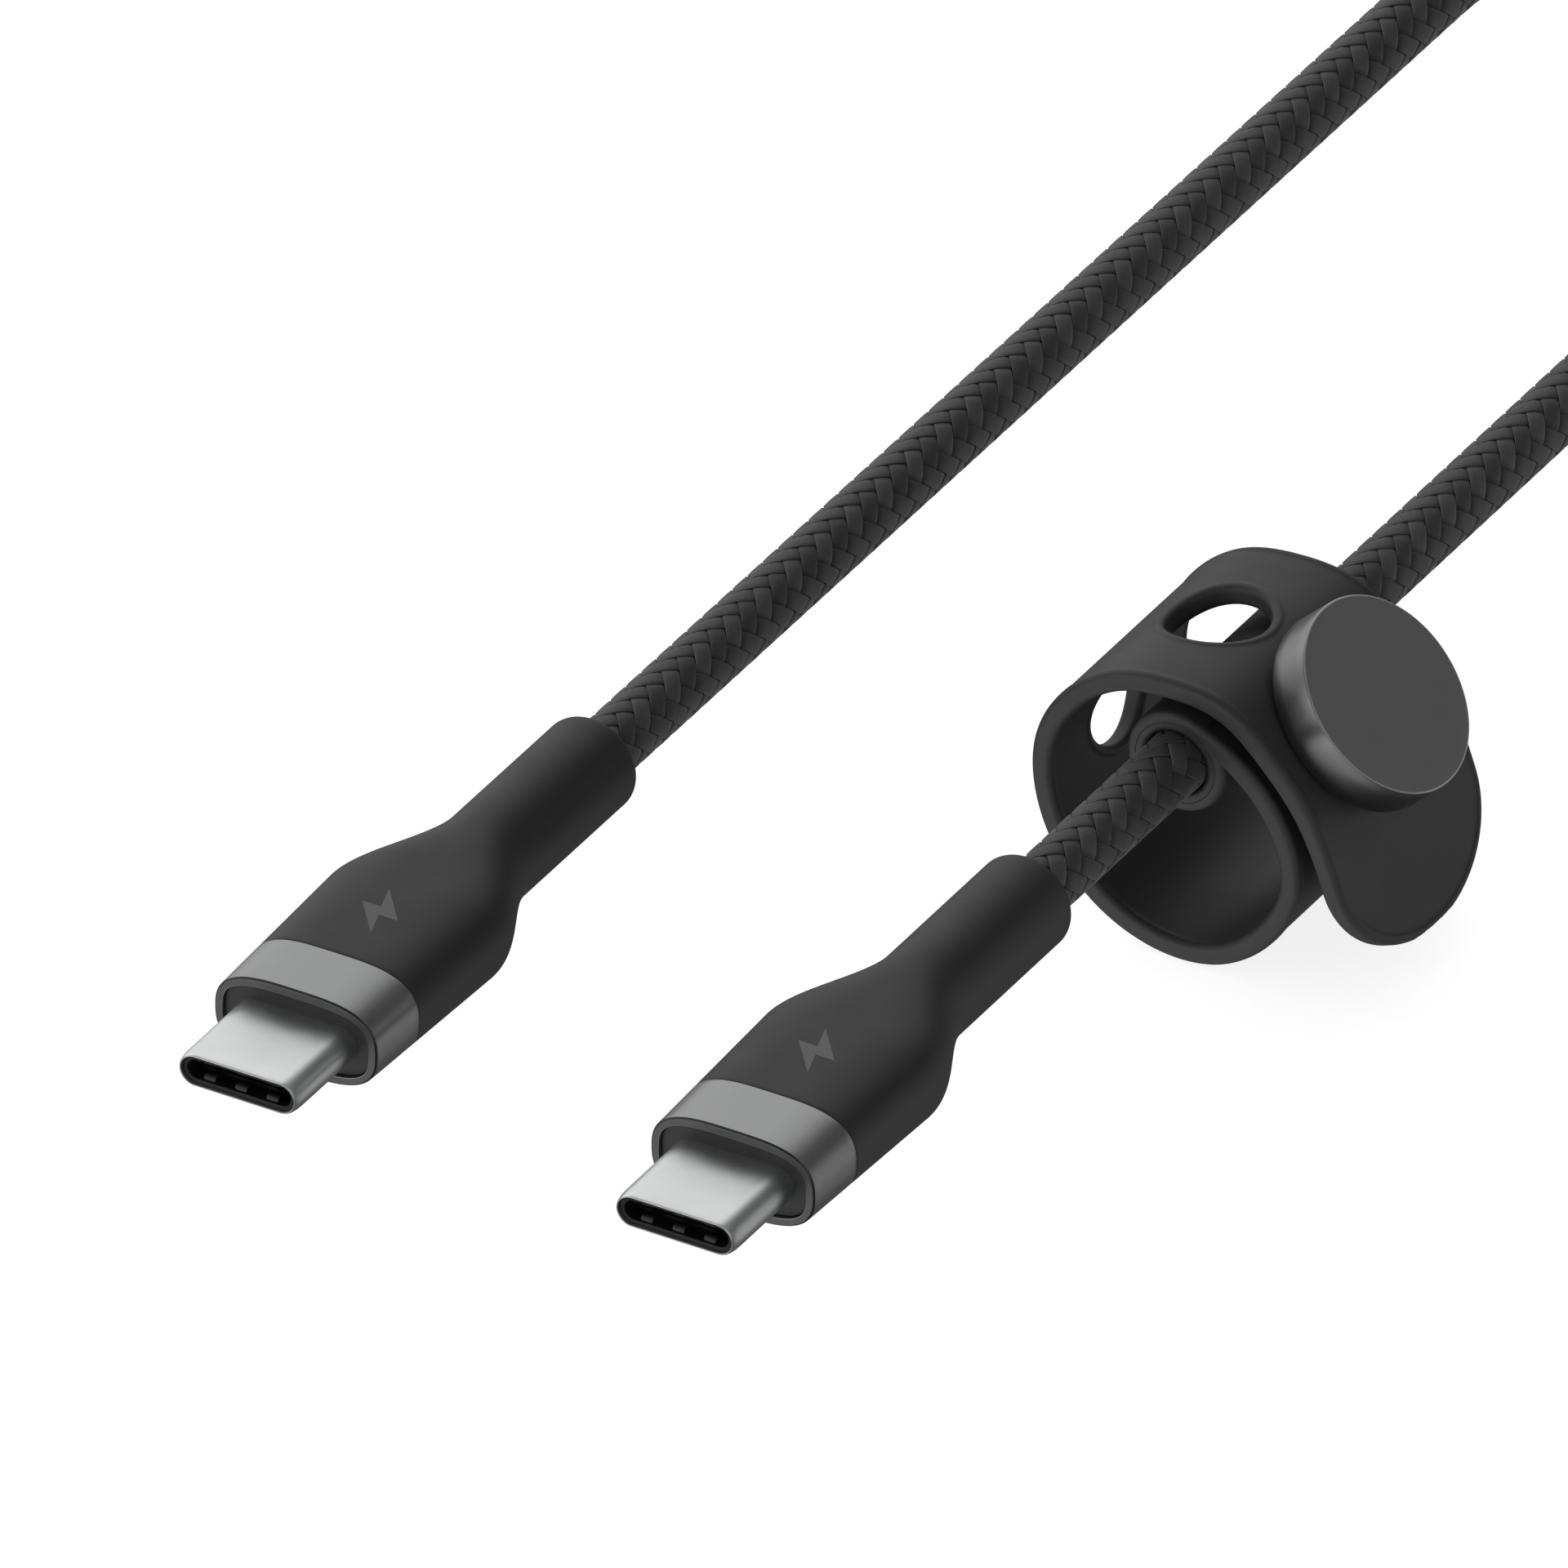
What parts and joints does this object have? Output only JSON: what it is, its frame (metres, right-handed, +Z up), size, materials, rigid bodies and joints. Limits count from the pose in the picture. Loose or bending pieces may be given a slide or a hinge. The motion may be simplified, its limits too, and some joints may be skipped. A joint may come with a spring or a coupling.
{
  "type": "usb-c charging cable",
  "caption": "Braided charging cable with a flat oval plug at each end, soft boots with metal trim rings, coiled behind straight leads, and a silicone storage strap closed by a round button.",
  "frame": {"origin": "centre of the left plug's mouth, at the steel shell's front edge", "axes": "both plugs point along -Y, the leads run along +Y, +X goes from the left plug to the right plug, +Z is up"},
  "size_m": [0.1116, 0.2954, 0.0222],
  "materials": {
    "plug_steel": "bright, fine satin stainless steel",
    "black_insulator": "matt black moulded plastic",
    "gold_contact": "gold-plated contact",
    "spring_steel": "bare spring steel",
    "circuit_board": "green solder mask",
    "chip_black": "black moulding compound",
    "can_steel": "thin plated steel",
    "clear_mould": "natural moulding plastic",
    "ring_metal": "satin grey metallic ring",
    "soft_boot": "fine matt soft-touch elastomer",
    "badge_grey": "slightly paler grey print",
    "wire_insulation": "white insulation",
    "red_insulation": "red insulation",
    "green_insulation": "green insulation",
    "black_wire_insulation": "black insulation",
    "braid": "woven dark grey nylon braid",
    "inner_jacket": "soft inner jacket",
    "shield_foil": "foil and drain braid",
    "copper": "bare copper",
    "yarn": "aramid yarn",
    "silicone": "matt black silicone",
    "button_metal": "satin dark grey metal",
    "magnet_nickel": "nickel plate"
  },
  "bodies": {
    "cable": {"cable_sleeve": "braid", "cable_jacket": "inner_jacket", "cable_shield": "shield_foil", "power_wire": "red_insulation", "ground_wire": "black_wire_insulation", "control_wire": "wire_insulation", "data_pair": "green_insulation", "copper_cores": "copper", "strength_yarn": "yarn"},
    "left_flex": {"left_flex_link": "braid"},
    "left_plug": {"left_shell": "plug_steel", "left_tongue_housing": "black_insulator", "left_contacts": "gold_contact", "left_latch_arms": "spring_steel", "left_ground_springs": "spring_steel", "left_paddle_board": "circuit_board", "left_marker_chip": "chip_black", "left_inner_can": "can_steel", "left_inner_mould": "clear_mould", "left_trim_ring": "ring_metal", "left_face_plate": "black_insulator", "left_boot": "soft_boot", "left_badge": "badge_grey", "left_crimp": "can_steel", "left_wire_tails": "wire_insulation", "left_lead_stub": "braid"},
    "right_flex": {"right_flex_link": "braid"},
    "right_plug": {"right_shell": "plug_steel", "right_tongue_housing": "black_insulator", "right_contacts": "gold_contact", "right_latch_arms": "spring_steel", "right_ground_springs": "spring_steel", "right_paddle_board": "circuit_board", "right_marker_chip": "chip_black", "right_inner_can": "can_steel", "right_inner_mould": "clear_mould", "right_trim_ring": "ring_metal", "right_face_plate": "black_insulator", "right_boot": "soft_boot", "right_badge": "badge_grey", "right_crimp": "can_steel", "right_wire_tails": "wire_insulation", "right_lead_stub": "braid"},
    "strap_eyelet": {"strap_eyelet_liner": "silicone"},
    "strap_loop": {"strap_loop": "silicone", "strap_keeper_plate": "spring_steel"},
    "strap_flap": {"strap_flap": "silicone", "button_cap": "button_metal", "button_stud": "button_metal", "button_magnet": "magnet_nickel"}
  },
  "joints": [
    {"name": "left_yaw", "type": "hinge", "parent": "cable", "child": "left_flex", "pos_m": [0, 0.051, 0], "axis": [0, 0, 1], "range_deg": [-45, 10], "stiffness_Nm_per_rad": 0.01},
    {"name": "left_pitch", "type": "hinge", "parent": "left_flex", "child": "left_plug", "pos_m": [0, 0.045, 0], "axis": [1, 0, 0], "range_deg": [-45, 12], "stiffness_Nm_per_rad": 0.01},
    {"name": "right_yaw", "type": "hinge", "parent": "cable", "child": "right_flex", "pos_m": [0.03, 0.051, 0], "axis": [0, 0, 1], "range_deg": [-10, 45], "stiffness_Nm_per_rad": 0.01},
    {"name": "right_pitch", "type": "hinge", "parent": "right_flex", "child": "right_plug", "pos_m": [0.03, 0.045, 0], "axis": [1, 0, 0], "range_deg": [-45, 12], "stiffness_Nm_per_rad": 0.01},
    {"name": "strap_slide", "type": "slide", "parent": "cable", "child": "strap_eyelet", "axis": [0, 1, 0], "range_m": [-0.0044, 0.06]},
    {"name": "strap_spin", "type": "hinge", "parent": "strap_eyelet", "child": "strap_loop", "pos_m": [0.03, 0.0669, 0], "axis": [0, 1, 0], "continuous": true},
    {"name": "strap_open", "type": "hinge", "parent": "strap_loop", "child": "strap_flap", "pos_m": [0.02345, 0.0669, 0.00275], "axis": [0, -1, 0], "range_deg": [0, 80], "stiffness_Nm_per_rad": 0.0005}
  ]
}
